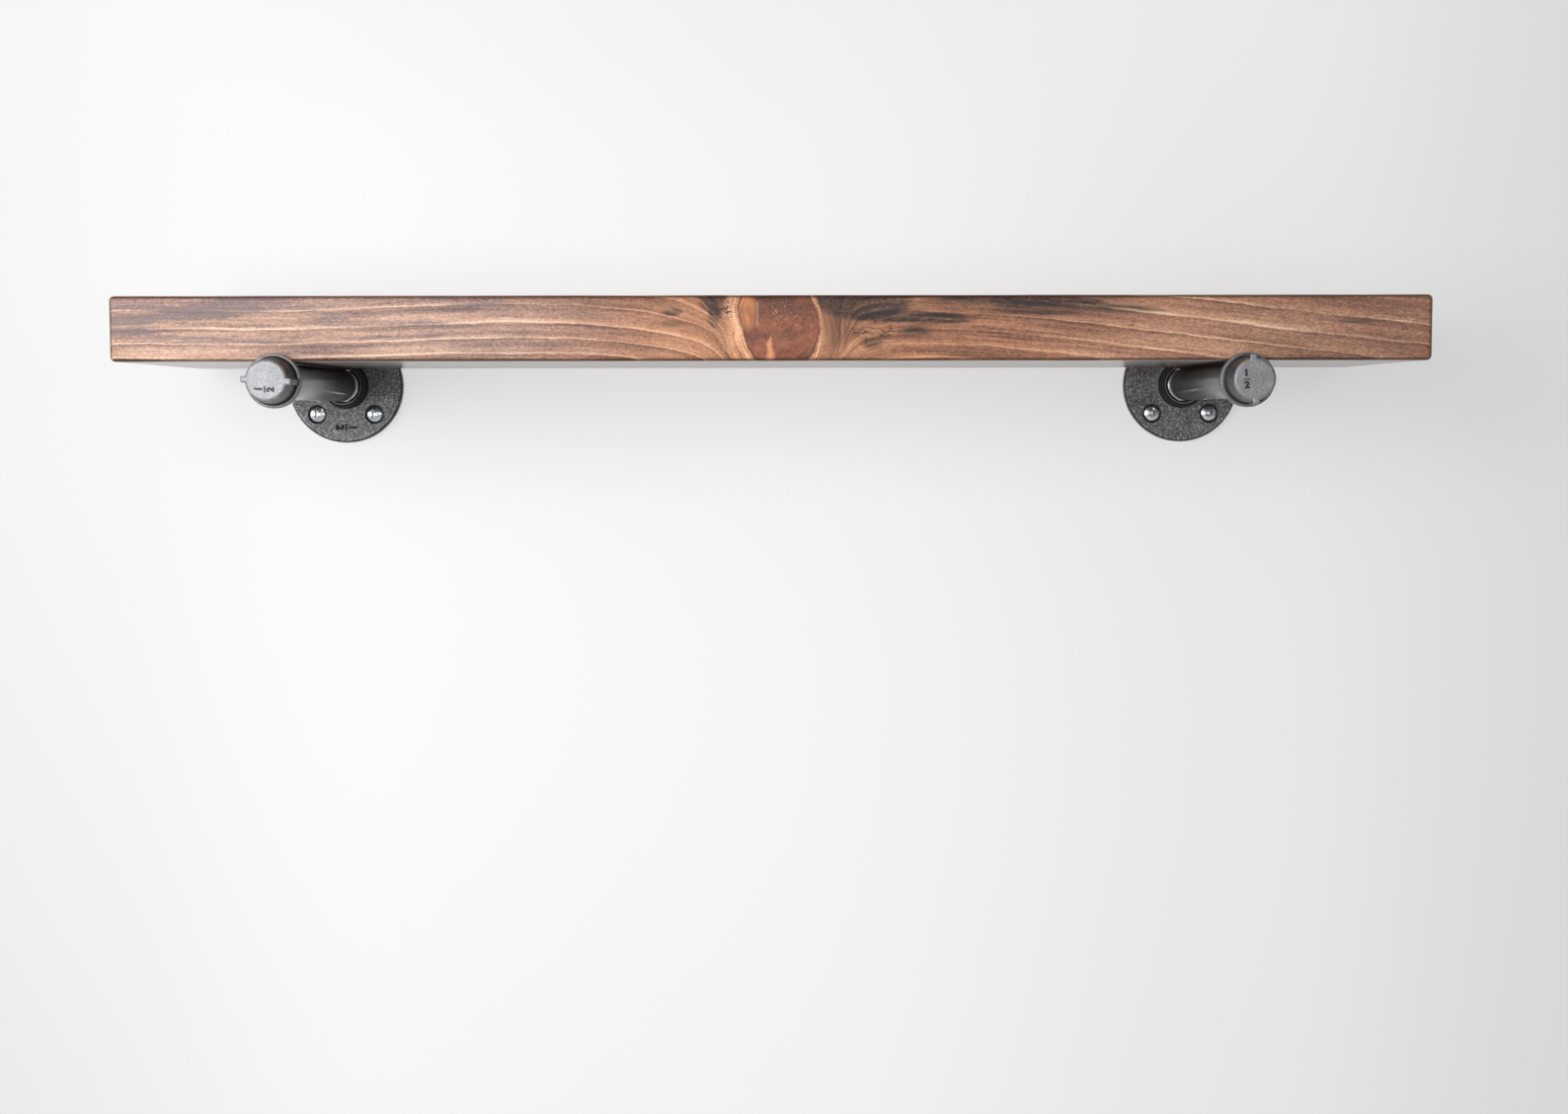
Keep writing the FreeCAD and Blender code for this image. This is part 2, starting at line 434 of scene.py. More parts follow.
# %% Tone of the grain
ring_width = 6.2
front_y = -202.5
fade_depth = 40.0
lighter_places = (
    ((265.0, 28.0), (80.0, 30.0), 0.13),
    ((74.0, 16.0), (45.0, 9.0), 0.14),
    ((-330.0, 20.0), (70.0, 11.0), 0.12),
    ((-42.0, 22.0), (28.0, 12.0), 0.1),
    ((-110.0, 45.0), (95.0, 9.0), -0.15),
)


def patch(place, centre, half):
    """A soft elliptical place on the front face: 1 in its middle, 0 outside."""
    x, y, z = axes(place)
    far_x = (x - centre[0]) / half[0]
    far_z = (z - centre[1]) / half[1]
    far_y = (y - front_y) / fade_depth
    return drop(far_x * far_x + far_z * far_z + far_y * far_y, 0.0, 1.0)


def patches(place, listed):
    """The sum of soft places, each with its centre, its half widths and its strength."""
    total = 0.0
    for centre, half, strength in listed:
        total = total + patch(place, centre, half) * strength
    return total


def grain_tone(place, depth):
    """How light the stained grain is, from about 0 to 1, and its streaks and grit."""
    x, y, _ = axes(place)
    count = depth / ring_width
    count = count + cloud(point(0.0, 0.0, count), (1.0, 1.0, 1.7), detail=0.0) * 0.8
    ring = curve(
        place.math("FRACT", count),
        (0.0, 0.28),
        (0.035, 0.12),
        (0.12, 0.25),
        (0.35, 0.33),
        (0.7, 0.44),
        (0.86, 0.56),
        (0.915, 0.95),
        (0.955, 1.0),
        (0.985, 0.6),
        (1.0, 0.28),
    )
    wild = drop(place.math("ABSOLUTE", x - 100.0), 45.0, 130.0)
    grain = point(x, depth, y)
    quiet = drop(x, -200.0, -60.0)
    vivid = 0.85 - wild * 0.35 - quiet * 0.12 + cloud(grain, (80.0, 7.0, 30.0), detail=2.0) * 2.4
    streak = cloud(grain, (70.0, 1.5, 2.4), detail=3.0, rough=0.6)
    pores = rise(cloud(grain, (6.0, 0.5, 0.8), detail=1.0), 0.12, 0.24)
    grit = cloud(place, (1.9, 1.2, 1.0), detail=2.0, rough=0.7)
    blotch = cloud(grain, (75.0, 6.0, 40.0), detail=4.0, rough=0.55)
    shifts = streak * (0.5 + wild * 0.6 + quiet * 0.3) + grit * (0.7 + quiet * 0.1)
    shifts = shifts + blotch * 0.65 - pores * 0.2
    lighter = patches(place, lighter_places)
    tone = 0.49 + (ring - 0.4) * vivid * 0.66 + shifts + lighter - wild * 0.07
    return tone, streak, grit


print("rings are about", ring_width, "mm wide")

# %% [markdown]
# Soot-dark stain gathers in soft places round the knot. Each such place is an ellipse on the front
# that fades with depth, so it does not run through the board. Their sum only says how much stain
# there is: a noise that is stretched along the grain decides where it sits, so the dark breaks up
# into wisps.

# %% Dark places torn into wisps
dark_places = (
    ((58.0, 46.0), (32.0, 15.0), 1.6),
    ((85.0, 46.0), (80.0, 14.0), 0.55),
    ((97.0, 34.8), (36.0, 4.4), 0.9),
    ((88.0, 27.0), (15.0, 6.0), 0.7),
    ((64.0, 22.0), (10.0, 6.0), 0.6),
    ((165.0, 42.5), (45.0, 9.0), 0.75),
    ((160.0, 47.5), (90.0, 7.0), 0.6),
    ((-25.0, 46.0), (15.0, 10.0), 1.15),
    ((-27.0, 36.0), (5.0, 9.0), 0.7),
    ((-51.0, 39.0), (9.0, 3.2), 0.75),
    ((-52.0, 32.5), (12.0, 3.0), 0.5),
    ((215.0, 40.5), (32.0, 4.0), 0.6),
    ((345.0, 34.0), (26.0, 2.8), 0.55),
)


def soot(place, depth, grit):
    """Where the stain has gone nearly black."""
    x, y, _ = axes(place)
    wisps = cloud(point(x, depth, y), (38.0, 1.7, 6.0), detail=4.0, rough=0.65)
    return rise(patches(place, dark_places) * (0.95 + wisps * 2.6) + grit * 0.4, 0.1, 1.0)


print("dark places:", len(dark_places))

# %% [markdown]
# The knot is the branch's own end grain: brown heart wood with faint arcs, a dark top, an amber
# spot and a flame of resin, a dry check and a few pale specks, all inside a thin dark ring of bark.

# %% The heart of the knot
knot_z = 35.7
amber_brown = srgb(208, 138, 90)
resin = srgb(226, 158, 112)
check_grey = srgb(186, 158, 138)
speck_cream = srgb(208, 172, 130)


def round_fibres(place, branch, lengths):
    """Noise stretched along circles round the knot."""
    x, y, z = axes(place)
    turn = place.math("ARCTAN2", x - branch_x, z - knot_z)
    return cloud(point(turn * branch_radius, branch * branch_radius, y), lengths, detail=3.0, rough=0.6)


def knot_heart(place, branch, ragged, grit):
    """The colour of the cut branch."""
    x, _, z = axes(place)
    aside = x - branch_x
    above = z - knot_z
    mottle = cloud(place, (11.0, 11.0, 7.0), detail=4.0, rough=0.6)
    arcs = round_fibres(place, branch, (14.0, 0.9, 6.0))
    dark_top = rise(above + mottle * 14.0, 2.0, 13.0) * drop(place.math("ABSOLUTE", aside), 6.0, 22.0)
    low = rise(-1.0 * above, 6.0, 20.0)
    tone = 0.46 + mottle * 1.1 + arcs * 0.7 + grit * 0.7 - dark_top * 0.35 + low * 0.1
    heart = ramp(
        tone,
        (0.0, srgb(68, 46, 42)),
        (0.4, srgb(124, 76, 60)),
        (0.7, srgb(160, 98, 70)),
        (1.0, srgb(212, 150, 106)),
    )
    amber = patch(place, (branch_x - 17.0, knot_z + 4.0), (7.0, 14.0)) * (0.75 + arcs * 1.6 + mottle)
    heart = mix(amber, heart, amber_brown)
    flame_width = (-1.0 * above - 8.0) * 0.13 + 0.7
    flame_x = place.math("ABSOLUTE", aside + 3.2 + mottle * 5.0)
    flame = drop(flame_x / flame_width + grit * 1.4, 0.0, 1.3) * rise(-1.0 * above, 9.0, 13.0)
    heart = mix(flame * 0.95, heart, resin)
    check_x = place.math("ABSOLUTE", aside + 10.8 + ragged * 5.0)
    check = drop(check_x + grit, 0.2, 0.8) * rise(above, -5.5, -4.0) * drop(above, 8.0, 10.0)
    heart = mix(check * 0.55, heart, check_grey)
    specks = cloud(place, (1.2, 1.2, 1.5), detail=3.0, rough=0.7)
    specks = rise(specks, 0.06, 0.2) * patch(place, (branch_x + 4.0, knot_z + 3.0), (14.0, 9.0))
    return mix(specks * 0.75, heart, speck_cream)


print("knot centre:", branch_x, "mm along the board and", knot_z, "mm up")

# %% [markdown]
# The colour is not even along the board. Over the left end the grain is mixed paler and greyer, a
# painted sheen of the window that this end mirrors, and grey clouds lie over it. The right end is
# darker and duller, the wood near the knot is warmer, and the soot lies on top with the grain still
# showing through. Each of these is a second colour, mixed in where its own mask says, so that each
# can be judged alone.

# %% Colour from end to end, with a painted sheen on the left
cloud_places = (
    ((-366.0, 36.0), (26.0, 5.0), 0.3),
    ((-328.0, 37.5), (36.0, 5.0), 0.22),
)
cloud_grey = srgb(106, 94, 99)
dusk_brown = srgb(104, 80, 74)
soot_brown = srgb(47, 39, 38)


def stained_grain(place, depth, tone, streak, grit):
    """The colour of the stained grain and its painted sheen, before the knot is set in it."""
    x, y, z = axes(place)
    wood = ramp(
        tone,
        (0.0, srgb(72, 51, 44)),
        (0.25, srgb(120, 84, 69)),
        (0.5, srgb(168, 120, 95)),
        (0.75, srgb(206, 157, 126)),
        (1.0, srgb(240, 198, 165)),
    )
    # painted sheen: the left end is mixed towards paler, greyer tones, as the window's reflection shows
    # there
    painted_sheen_tone = ramp(tone, (0.1, srgb(92, 76, 75)), (0.9, srgb(226, 199, 186)))
    left = drop(x, -190.0, -30.0)
    wood = mix(left * 0.35, wood, painted_sheen_tone)
    clouds = cloud(point(x, depth, y), (48.0, 4.0, 30.0), detail=3.0) + (z - 30.0) * 0.004
    clouds = clouds + patches(place, cloud_places) - streak * 0.32 - grit * 0.15
    wood = mix(rise(clouds, 0.0, 0.22) * left * 0.68, wood, cloud_grey)
    dusk = rise(x, 190.0, 335.0) * (0.3 - streak * 0.9 - grit * 0.9)
    wood = mix(dusk, wood, dusk_brown)
    warm = ramp(tone, (0.1, srgb(92, 56, 41)), (0.85, srgb(218, 150, 104)))
    near_knot = drop(place.math("ABSOLUTE", x - 40.0), 60.0, 190.0)
    wood = mix(near_knot * 0.5, wood, warm)
    black = soot(place, depth, grit)
    return mix(black * (0.9 - streak - grit * 0.7), wood, soot_brown)


print("grey clouds:", len(cloud_places))

# %% [markdown]
# Dense wood that hardly takes stain stands like cream wings on both sides of the knot. Some of it
# is singed brown, and fine cracks have torn beside it. Painted outlines would look cut out, so
# fibres that run round the knot break up the wings, and a thin dark ring of bark closes the knot.

# %% The knot and what lies round it
singed_brown = srgb(98, 62, 48)
crack_brown = srgb(62, 40, 32)
bark_brown = srgb(94, 56, 43)
crack_places = (
    ((64.0, 29.0), (20.0, 11.0), 1.0),
    ((-22.0, 41.0), (9.0, 10.0), 1.0),
)


def set_knot(place, wood, branch, ragged, grit):
    """The colour of the board once the knot is set in the stained grain."""
    x, _, _ = axes(place)
    right = rise(x, branch_x - 10.0, branch_x + 10.0)
    fibres = round_fibres(place, branch, (20.0, 0.9, 6.0))
    reach = branch + fibres * 0.45 + ragged * 0.25
    wing = rise(branch, 1.0, 1.02) * drop(reach, 1.24 - right * 0.18, 1.5 - right * 0.28)
    cream = ramp(
        0.5 + fibres * 2.3 + grit * 0.8 - right * 0.1,
        (0.1, srgb(150, 92, 60)),
        (0.5, srgb(238, 176, 132)),
        (0.9, srgb(255, 216, 176)),
    )
    wood = mix(wing * 0.88, wood, cream)
    singed = patch(place, (44.0, 33.0), (12.0, 22.0)) * rise(fibres + grit * 0.5, -0.12, 0.16)
    wood = mix(singed * 0.75, wood, singed_brown)
    veins = place.math("ABSOLUTE", cloud(place, (17.0, 17.0, 5.0), detail=3.0, rough=0.55))
    wood = mix(drop(veins, 0.006, 0.026) * patches(place, crack_places), wood, crack_brown)
    wood = mix(drop(branch, 0.98, 1.01), wood, knot_heart(place, branch, ragged, grit))
    bark = rise(branch, 0.95, 0.985) * drop(branch, 0.995, 1.03) * (0.65 + ragged * 0.9)
    return mix(bark, wood, bark_brown)


print("cracked places:", len(crack_places))

# %% [markdown]
# Last come the eased edges, dark and a little red, because stain soaks into them from two sides,
# and the underside, whose colour is mixed towards a dark neutral grey under a thicker coat. Both
# are found by distance from the board's own box. A satin clear coat lies over all of it and takes
# the sheen of the window.

# %% Edges, underside and clear coat
board_low, board_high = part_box("plank")
edge_brown = srgb(52, 26, 20)
underside_grey = srgb(58, 54, 52)


def edge_of_board(place):
    """1 along the twelve edges of the board, 0 a few millimetres away from them."""
    gaps = []
    for axis, low, high in zip(axes(place), board_low, board_high):
        gaps.append(place.math("MINIMUM", axis - low * millimetres, high * millimetres - axis))
    first, second, third = gaps
    nearest = place.math("MINIMUM", first, second)
    farthest = place.math("MAXIMUM", first, second)
    middle = place.math("MAXIMUM", nearest, place.math("MINIMUM", farthest, third))
    return drop(middle, 0.8, 2.2)


def stained_wood():
    """Walnut stain on pine under a satin clear coat, cut from one log."""
    material, shader, start = new_finish("stained_wood")
    place = in_millimetres(start)
    _, _, z = axes(place)
    depth, branch, ragged = bent_rings(place)
    tone, streak, grit = grain_tone(place, depth)
    wood = stained_grain(place, depth, tone, streak, grit)
    wood = set_knot(place, wood, branch, ragged, grit)
    wood = mix(edge_of_board(place) * 0.95, wood, edge_brown)
    bottom = board_low.z * millimetres
    underside = drop(z, bottom + 0.35, bottom + 0.7)
    wood = mix(underside * 0.75, wood, underside_grey)

    rough = 0.42 - tone * 0.06 + grit * 0.12
    height = grit * 0.5 + streak * 0.5
    coat = 0.26 + underside * 0.58
    skin = bump(height, 0.0004, 0.5)
    feed(shader, {"Base Color": wood, "Roughness": rough, "Coat Weight": coat, "Normal": skin})
    settle(shader, {"Coat Roughness": 0.2, "Specular IOR Level": 0.12})
    return material


wood_finish = stained_wood()
print("wood nodes:", len(wood_finish.node_tree.nodes))

# %% [markdown]
# ## The plank
#
# The plank is dressed lumber whose edges were eased by hand. A cube with a Bevel modifier would be
# too perfect, so the board starts as a fine grid, grows to its thickness by repeated extrusion, and
# has its sharp edges bevelled. The fine faces then let a soft noise leave the slight waves of hand
# sanding.

# %% Extrude, bevel and sand the board
cell = 0.004
edge_radius = 0.003
edge_steps = 4
sharp_corner = math.radians(60)
sanding_wave = 0.05
sanding_depth = 0.0003


def only(piece):
    """Make a piece the only one selected, and the active one."""
    bpy.ops.object.select_all(action="DESELECT")
    piece.select_set(True)
    bpy.context.view_layer.objects.active = piece


def add_modifier(piece, kind, **settings):
    """Add a modifier with these settings and apply it at once."""
    made = piece.modifiers.new(kind.lower(), kind)
    for name, value in settings.items():
        setattr(made, name, value)
    only(piece)
    bpy.ops.object.modifier_apply(modifier=made.name)


def clouds_texture(name, size, depth=2):
    """Cloud noise that a Displace modifier can read."""
    made = bpy.data.textures.new(name, "CLOUDS")
    made.noise_scale = size
    made.noise_depth = depth
    return made


board_size = board_high - board_low
layers = round(board_size.z / cell)
bpy.ops.object.select_all(action="DESELECT")
bpy.ops.mesh.primitive_grid_add(
    size=1.0,
    x_subdivisions=round(board_size.x / cell),
    y_subdivisions=round(board_size.y / cell),
    location=((board_low.x + board_high.x) / 2, (board_low.y + board_high.y) / 2, board_low.z),
)
board = bpy.context.object
board.name = "plank_board"
board.scale = (board_size.x, board_size.y, 1.0)
bpy.ops.object.transform_apply(location=True, rotation=True, scale=True)
bpy.ops.object.mode_set(mode="EDIT")
bpy.ops.mesh.select_all(action="SELECT")
for _ in range(layers):
    bpy.ops.mesh.extrude_region_move(
        TRANSFORM_OT_translate={"value": (0.0, 0.0, board_size.z / layers)}
    )
bpy.ops.mesh.select_all(action="SELECT")
bpy.ops.mesh.normals_make_consistent(inside=False)
bpy.ops.mesh.select_all(action="DESELECT")
bpy.ops.mesh.edges_select_sharp(sharpness=sharp_corner)
bpy.ops.mesh.bevel(offset=edge_radius, segments=edge_steps, affect="EDGES")
bpy.ops.object.mode_set(mode="OBJECT")
add_modifier(
    board,
    "DISPLACE",
    texture=clouds_texture("sanding", sanding_wave),
    texture_coords="LOCAL",
    mid_level=1.0,
    strength=sanding_depth,
)
bpy.ops.object.shade_smooth()
board.data.materials.append(wood_finish)
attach(board, "plank")
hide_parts("plank")
print("board faces:", len(board.data.polygons))

# %% [markdown]
# ## Cast iron
#
# The flange is sand-cast and dipped in a thin dark coat. The sand leaves a grit on the flat of
# the plate, whose pale specks in the colour are partly the iron's own mottle and partly painted
# glints, while the hub, the rim, the raised numerals and the drilled countersinks are smoother and
# mixed nearly black as painted shade. Handling wears the rim's corner and the mouth of the hub down
# to bright metal. All of these places are circles round the pipe or the screws, so distances from
# their axes find them.

# %% Finish of the flanges
flange_low, flange_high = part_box("right_flange")
bracket_x = (flange_low.x + flange_high.x) / 2 * millimetres
plate_front = -6.5
hub_front = -18.0
hole_offset = 19.09
painted_shade_black = srgb(11, 11, 12)
bare_iron = srgb(176, 175, 172)


def round_axes(place):
    """Distance from the nearer bracket's axis, and from its nearest screw's axis along X and Z."""
    x, y, z = axes(place)
    aside = place.math("ABSOLUTE", x) - bracket_x
    radius = (aside * aside + z * z) ** 0.5
    hole_x = place.math("ABSOLUTE", aside) - hole_offset
    hole_z = place.math("ABSOLUTE", z) - hole_offset
    return radius, hole_x, hole_z, y


def cast_iron():
    """Sand-cast iron under a thin dark coat."""
    material, shader, start = new_finish("cast_iron")
    place = in_millimetres(start)
    radius, hole_x, hole_z, y = round_axes(place)
    hole = (hole_x * hole_x + hole_z * hole_z) ** 0.5
    sand = cloud(place, (0.95, 0.95, 0.95), detail=2.0, rough=0.6)
    skin = cloud(place, (12.0, 12.0, 12.0), detail=3.0)

    hub = drop(radius, 14.9, 15.9)
    rim = rise(radius, 36.4, 37.2)
    sunk = drop(hole, 6.2, 6.7)
    raised = drop(y, plate_front - 0.35, plate_front - 0.15)
    smooth = start.math("MAXIMUM", hub, rim)
    smooth = start.math("MAXIMUM", smooth, start.math("MAXIMUM", sunk, raised))
    # the grit's pale specks are partly the iron's own mottle and partly painted glints
    colour = ramp(
        sand * 1.8 + 0.5 + skin * 0.3,
        (0.15, srgb(42, 42, 43)),
        (0.5, srgb(97, 97, 99)),
        (0.85, srgb(178, 178, 180)),
    )
    # painted shade: the hub, the rim, the countersinks and the raised numerals are mixed nearly black
    colour = mix(smooth * 0.98, colour, painted_shade_black)
    worn = rise(radius, 35.5, 36.0) * drop(radius, 36.5, 37.0) * rise(sand, -0.05, 0.12)
    mouth = rise(radius, 11.9, 12.1) * drop(radius, 12.5, 12.8)
    mouth = mouth * drop(y, hub_front + 0.5, hub_front + 1.2)
    bare = start.math("MAXIMUM", worn * 0.75, mouth * 0.7)
    colour = mix(bare, colour, bare_iron)
    rough = 0.42 + sand * 0.25 + raised * 0.45
    grains = bump(sand * (1.0 - smooth * 0.75), 0.0006, 0.8)
    feed(shader, {"Base Color": colour, "Roughness": rough, "Metallic": bare * 0.9, "Normal": grains})
    settle(shader, {"Specular IOR Level": 0.55})
    return material


print("bracket axes:", round(bracket_x, 1), "mm to either side")

# %% [markdown]
# The caps are cast too, and tumbled smooth. Their face and the bead are mixed pale as a painted
# highlight, where the light falls on them. Metal that is partly coated is between a mirror and a
# paint, so its Metallic value lies between 0 and 1.

# %% Finish of the caps
cap_low, cap_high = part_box("right_cap")
numeral_relief = 0.5
numeral_shade_black = srgb(30, 30, 32)


def cast_cap():
    """Dark cast iron with a painted highlight on its face and bead, and numerals darkened as painted
    shade.
    """
    material, shader, start = new_finish("cast_cap")
    place = in_millimetres(start)
    radius, _, _, y = round_axes(place)
    sand = cloud(place, (1.3, 1.3, 1.3), detail=2.0, rough=0.7)
    skin = cloud(place, (8.0, 8.0, 8.0), detail=3.0)
    front = cap_low.y * millimetres
    face = drop(y, front + 1.2, front + 2.4)
    pale = ramp(
        sand * 0.7 + 0.5 + skin * 0.25,
        (0.15, srgb(90, 90, 92)),
        (0.5, srgb(140, 140, 143)),
        (0.85, srgb(186, 186, 189)),
    )
    dark = ramp(
        sand * 0.9 + 0.5 + skin * 0.6,
        (0.2, srgb(20, 20, 22)),
        (0.8, srgb(48, 48, 50)),
    )
    bead = drop(y, front + 19.6, front + 20.4) * rise(y, front + 18.2, front + 18.8)
    bead = bead * rise(radius, 14.0, 14.8)
    # painted highlight: the face and the bead are mixed pale, and made more metallic too
    painted_highlight = start.math("MAXIMUM", face, bead * 0.7)
    colour = mix(painted_highlight, dark, pale)
    # painted shade: the raised numerals are mixed nearly black
    raised = drop(y, front + numeral_relief * 0.4, front + numeral_relief * 0.7)
    colour = mix(raised * 0.9, colour, numeral_shade_black)
    rough = 0.32 + sand * 0.2 + face * 0.13
    metal = 0.06 + painted_highlight * 0.44
    grains = bump(sand, 0.0004, 0.5)
    feed(shader, {"Base Color": colour, "Roughness": rough, "Metallic": metal, "Normal": grains})
    settle(shader, {"Coat Weight": 0.04, "Coat Roughness": 0.25, "Specular IOR Level": 0.3})
    return material


print("cap length:", round((cap_high.y - cap_low.y) * millimetres, 1), "mm")

# %% [markdown]
# ## Pipe and screws
#
# The nipples are black lacquered steel pipe. Their thread was cut after the lacquer, so a ragged
# border parts bare bright steel from black near each hub. The wall screws are zinc plated, bright,
# with painted shade in the cross recess.

# %% Finishes of the pipes and the screws
lacquer_black = srgb(14, 14, 15)
scratch_grey = srgb(66, 66, 68)
bare_steel = srgb(220, 219, 216)
recess_shade_grey = srgb(82, 84, 88)


def lacquered_pipe():
    """Black lacquer on the pipe, and bare steel where the thread was cut."""
    material, shader, start = new_finish("lacquered_pipe")
    place = in_millimetres(start)
    _, y, _ = axes(place)
    drawn = cloud(place, (0.8, 30.0, 0.8), detail=3.0)
    ragged = cloud(place, (3.0, 3.0, 3.0), detail=3.0)
    bare = rise(y + ragged * 4.0, hub_front - 14.5, hub_front - 12.5)
    scratch = rise(cloud(place, (7.0, 0.5, 7.0), detail=2.0), 0.2, 0.3) * 0.3
    colour = mix(bare, mix(scratch, lacquer_black, scratch_grey), bare_steel)
    rough = 0.2 + drawn * 0.12
    skin = bump(drawn, 0.0001, 0.3)
    feed(shader, {"Base Color": colour, "Roughness": rough, "Metallic": bare, "Normal": skin})
    settle(shader, {"Coat Weight": 0.15, "Coat Roughness": 0.12, "Specular IOR Level": 0.4})
    return material


def zinc_screw():
    """Bright zinc with a faint bloom and painted shade in its cross recess."""
    material, shader, start = new_finish("zinc_screw")
    place = in_millimetres(start)
    _, hole_x, hole_z, y = round_axes(place)
    bloom = cloud(place, (1.6, 1.6, 1.6), detail=3.0)
    colour = ramp(bloom + 0.5, (0.2, srgb(186, 190, 196)), (0.8, srgb(232, 234, 236)))
    wide = start.math("ABSOLUTE", hole_x)
    tall = start.math("ABSOLUTE", hole_z)
    upright_arm = start.math("MAXIMUM", wide * 3.6, tall)
    level_arm = start.math("MAXIMUM", wide, tall * 3.6)
    cross = start.math("MINIMUM", upright_arm, level_arm)
    recess = drop(cross, 2.3, 2.8) * drop(y, plate_front + 1.0, plate_front + 3.0)
    # painted shade: the cross recess is mixed grey
    colour = mix(recess * 0.55, colour, recess_shade_grey)
    rough = 0.2 + bloom * 0.15 + recess * 0.15
    feed(shader, {"Base Color": colour, "Roughness": rough})
    settle(shader, {"Metallic": 1.0})
    return material


finishes = {
    "flange": cast_iron(),
    "cap": cast_cap(),
    "nipple": lacquered_pipe(),
    "screw": zinc_screw(),
}
for name, node in nodes.items():
    for part, finish in finishes.items():
        if part in name:
            node.data.materials.clear()
            node.data.materials.append(finish)
print("finishes:", ", ".join(finish.name for finish in finishes.values()))

# %% [markdown]
# ## Castings
#
# The pipe size stands on each casting in raised numerals, as one over two. They could be drawn from
# boxes, but text that is made a mesh has the round two for nothing, and a small offset makes it as
# bold as a number that was cut into a casting pattern by hand.

# %% Raised numerals
font_height_share = 0.72
bolder_share = 0.07
bar_height_share = 0.16
bar_width_share = 0.9
numeral_step_share = 0.72


def numeral(character, height, relief):
    """A raised numeral on the XZ plane, centred on the origin and facing the room."""
    bpy.ops.object.select_all(action="DESELECT")
    bpy.ops.object.text_add(rotation=(math.pi / 2, 0.0, 0.0))
    letter = bpy.context.object
    letter.data.body = character
    letter.data.align_x = "CENTER"
    letter.data.align_y = "CENTER"
    letter.data.size = height / font_height_share
    letter.data.extrude = relief
    letter.data.offset = height * bolder_share
    bpy.ops.object.convert(target="MESH")
    return bpy.context.object


def size_mark(height, relief):
    """One over two with a bar between them, as raised numerals about the origin."""
    bar_height = height * bar_height_share
    bpy.ops.object.select_all(action="DESELECT")
    bpy.ops.mesh.primitive_cube_add(size=1.0)
    bar = bpy.context.object
    bar.scale = (height * bar_width_share, 2 * relief, bar_height)
    pieces = [bar]
    for character, side in (("1", 1), ("2", -1)):
        letter = numeral(character, height, relief)
        letter.location.z = side * (height * numeral_step_share + bar_height)
        pieces.append(letter)
    for piece in pieces:
        only(piece)
        bpy.ops.object.transform_apply(location=True, rotation=True, scale=True)
    for piece in pieces:
        piece.select_set(True)
    bpy.context.view_layer.objects.active = bar
    bpy.ops.object.join()
    return bar


def stand_on(mark, centre, distance, angle, top_angle):
    """Turn a mark's top to one angle and move it out from a centre along another, in degrees."""
    turn = math.radians(angle)
    mark.rotation_euler.y = math.radians(90.0 - top_angle)
    mark.location = (
        centre[0] + distance * math.cos(turn),
        centre[1],
        centre[2] + distance * math.sin(turn),
    )
    only(mark)
    bpy.ops.object.transform_apply(location=True, rotation=True, scale=True)


print("numerals ready: one over two")

# %% [markdown]
# A casting has no crisp corner and no smooth face: sand rounds the one and roughens the other.
# Modelling that by hand would mean bevelling every edge, so each casting starts as a merged copy of
# its solid. A voxel remesh melts the corners, and a fine noise along the normals leaves the grain
# of the mould. The numerals were cut with a sharp tool, so they are set on after the melting and
# keep their edges.

# %% From a solid to a casting
merge_distance = 0.000002
spacing = 2 * bracket_x / millimetres


def copy_of_solid(solid, name):
    """A merged copy of a solid's mesh, as a new piece."""
    piece = bpy.data.objects.new(name, nodes[solid].data.copy())
    bpy.context.scene.collection.objects.link(piece)
    only(piece)
    bpy.ops.object.mode_set(mode="EDIT")
    bpy.ops.mesh.select_all(action="SELECT")
    bpy.ops.mesh.remove_doubles(threshold=merge_distance)
    bpy.ops.mesh.customdata_custom_splitnormals_clear()
    bpy.ops.object.mode_set(mode="OBJECT")
    return piece


def cast(piece, mark, voxel, grain_size, grain_height):
    """Melt a piece's corners, leave the grain of the sand on its skin, and set its mark on it."""
    add_modifier(piece, "REMESH", mode="VOXEL", voxel_size=voxel)
    add_modifier(piece, "SMOOTH", factor=0.5, iterations=1)
    sand = clouds_texture(piece.name + "_sand", grain_size)
    add_modifier(
        piece,
        "DISPLACE",
        texture=sand,
        texture_coords="LOCAL",
        mid_level=1.0,
        strength=grain_height,
    )
    bpy.ops.object.shade_smooth()
    mark.select_set(True)
    bpy.ops.object.join()


def turned_copy(piece, name, shift, degrees):
    """A copy with its own mesh, turned about its bracket's axis and moved along the wall."""
    made = bpy.data.objects.new(name, piece.data.copy())
    bpy.context.scene.collection.objects.link(made)
    middle = -math.copysign(spacing / 2, shift)
    to_axis = Matrix.Translation((-middle, 0.0, 0.0))
    turn = Matrix.Rotation(math.radians(-degrees), 4, "Y")
    made.data.transform(Matrix.Translation((middle + shift, 0.0, 0.0)) @ turn @ to_axis)
    return made


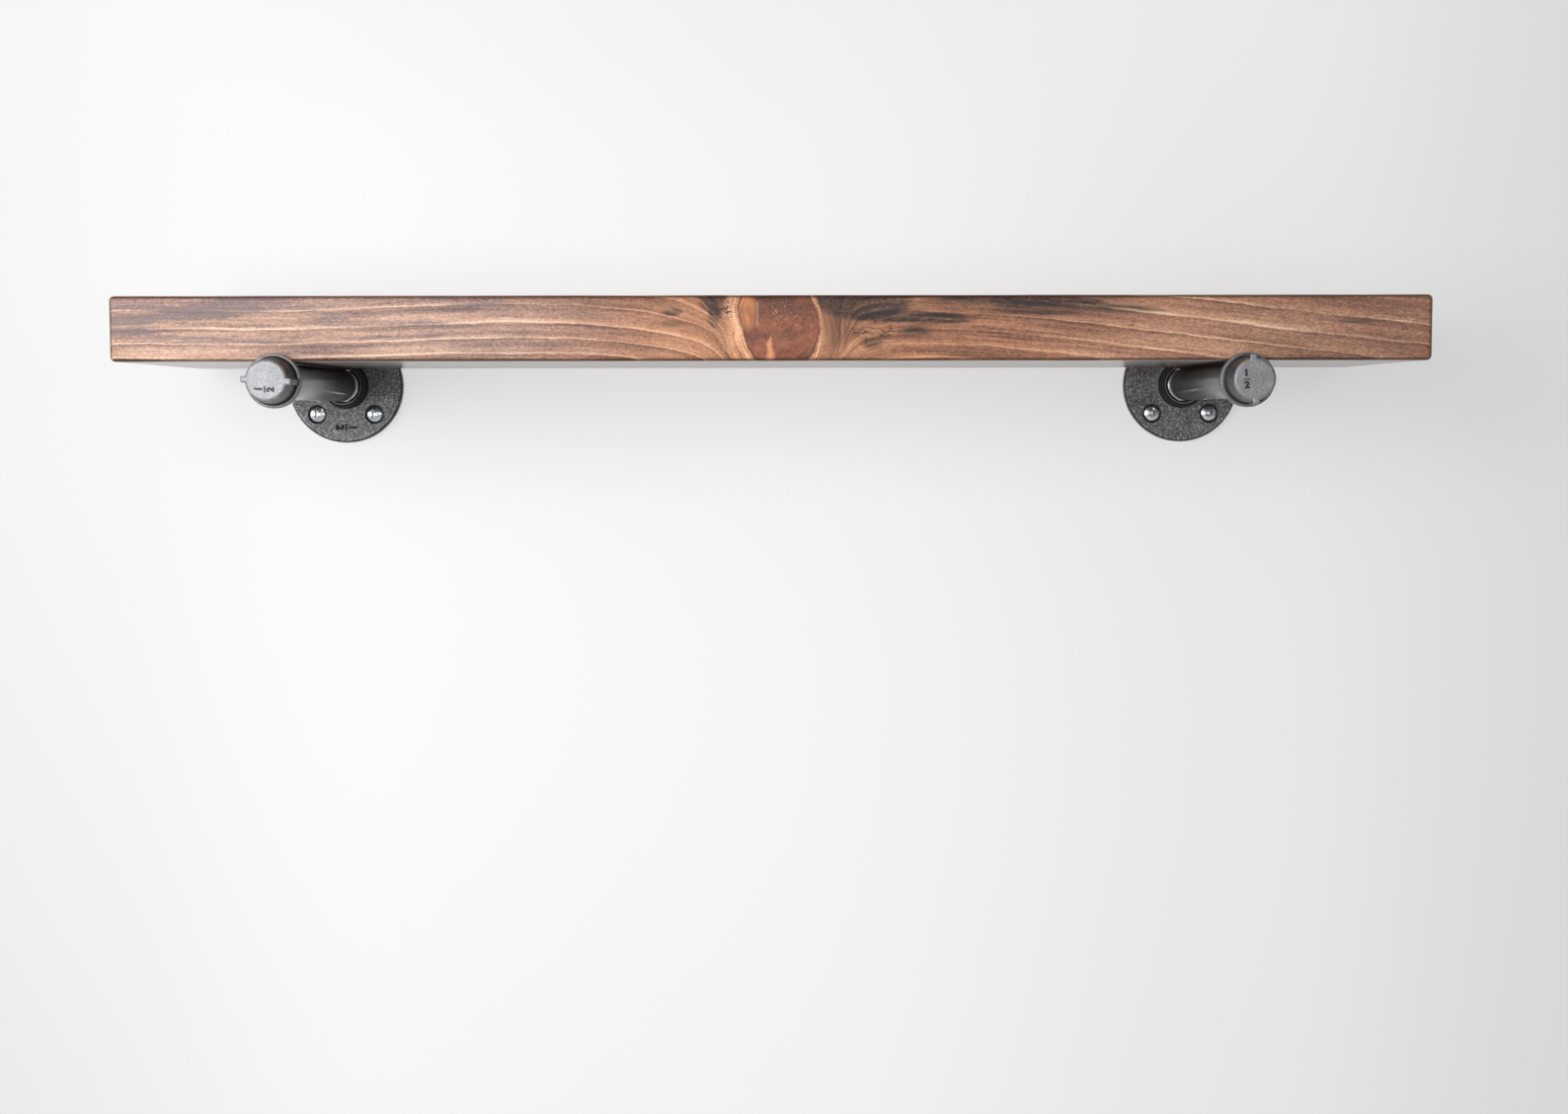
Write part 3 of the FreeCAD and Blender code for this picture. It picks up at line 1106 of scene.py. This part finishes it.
def fit_casting(piece, solid, finish):
    """Let a casting stand for its solid."""
    piece.data.materials.clear()
    piece.data.materials.append(finish)
    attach(piece, "brackets")
    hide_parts(solid)
    print(piece.name, "faces:", len(piece.data.polygons))


print("brackets are", round(spacing, 4), "m apart")

# %% [markdown]
# Both flanges come from one pattern, so one is cast and the other is a copy with its own mesh. A
# flange is put up whichever way its holes fall, so the copy is a quarter turn round from the first.

# %% Cast the flanges
left_flange = copy_of_solid("left_flange", "left_flange_casting")
flange_mark = size_mark(height=0.0049, relief=0.0008)
plate_centre = (-spacing / 2, plate_front / millimetres, 0.0)
stand_on(flange_mark, plate_centre, distance=0.0278, angle=-90.0, top_angle=0.0)
cast(left_flange, flange_mark, voxel=0.0004, grain_size=0.0009, grain_height=0.0003)
right_flange = turned_copy(left_flange, "right_flange_casting", shift=spacing, degrees=90.0)
fit_casting(left_flange, "left_flange", finishes["flange"])
fit_casting(right_flange, "right_flange", finishes["flange"])

# %% [markdown]
# The numerals on a cap stand proud of its face, so the cap is first pressed a little shorter from
# its rim: numerals and all, it then ends where the solid ends. Each cap stopped turning where its
# thread was tight, so the second one stands at an angle of its own.

# %% Cast the caps
right_cap = copy_of_solid("right_cap", "right_cap_casting")
cap_relief = numeral_relief / millimetres
pressed = 1.0 - cap_relief / (cap_high.y - cap_low.y)
bpy.ops.object.mode_set(mode="EDIT")
bpy.ops.mesh.select_all(action="SELECT")
bpy.ops.transform.resize(value=(1.0, pressed, 1.0), center_override=(0.0, cap_high.y, 0.0))
bpy.ops.object.mode_set(mode="OBJECT")
cap_mark = size_mark(height=0.0039, relief=cap_relief)
face_centre = (spacing / 2, cap_low.y + cap_relief, 0.0)
stand_on(cap_mark, face_centre, distance=0.005, angle=180.0, top_angle=94.0)
cast(right_cap, cap_mark, voxel=0.00028, grain_size=0.0011, grain_height=0.0001)
left_cap = turned_copy(right_cap, "left_cap_casting", shift=-spacing, degrees=83.0)
fit_casting(left_cap, "left_cap", finishes["cap"])
fit_casting(right_cap, "right_cap", finishes["cap"])
